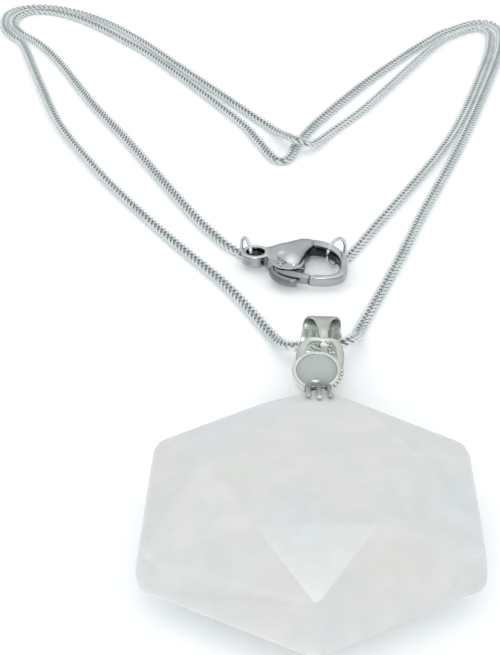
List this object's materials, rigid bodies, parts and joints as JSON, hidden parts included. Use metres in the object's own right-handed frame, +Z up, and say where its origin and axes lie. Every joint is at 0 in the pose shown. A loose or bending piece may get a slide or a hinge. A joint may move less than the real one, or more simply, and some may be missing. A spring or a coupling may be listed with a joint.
{
  "type": "quartz pendant necklace",
  "caption": "A faceted milky quartz pendant with a plated folded bail and a grey cabochon, on a fine curb chain laid in a heart and closed with a lobster clasp.",
  "frame": {"origin": "bottom centre of the box round the laid necklace, on the table it lies on", "axes": "+X to the wearer's side seen at the right, +Y from the pendant to the top of the laid heart, +Z up from the table"},
  "size_m": [0.0751, 0.155, 0.0082],
  "materials": {
    "quartz": "polished, milky",
    "plate": "polished plate",
    "grey_stone": "polished",
    "chain_steel": "polished",
    "clasp_steel": "polished"
  },
  "bodies": {
    "necklace": {"stone": "quartz", "setting": "plate", "cabochon": "grey_stone", "chain": "chain_steel", "clasp_body": "clasp_steel", "ring_left": "clasp_steel", "ring_right": "clasp_steel"},
    "lever": {"clasp_lever": "clasp_steel"}
  },
  "joints": [
    {"name": "clasp_lever_hinge", "type": "hinge", "parent": "necklace", "child": "lever", "pos_m": [0.0033, -0.0112, 0.0012], "axis": [0, 0, 1], "range_deg": [0, 15], "stiffness_Nm_per_rad": 0.02, "springref_deg": -5.73}
  ]
}
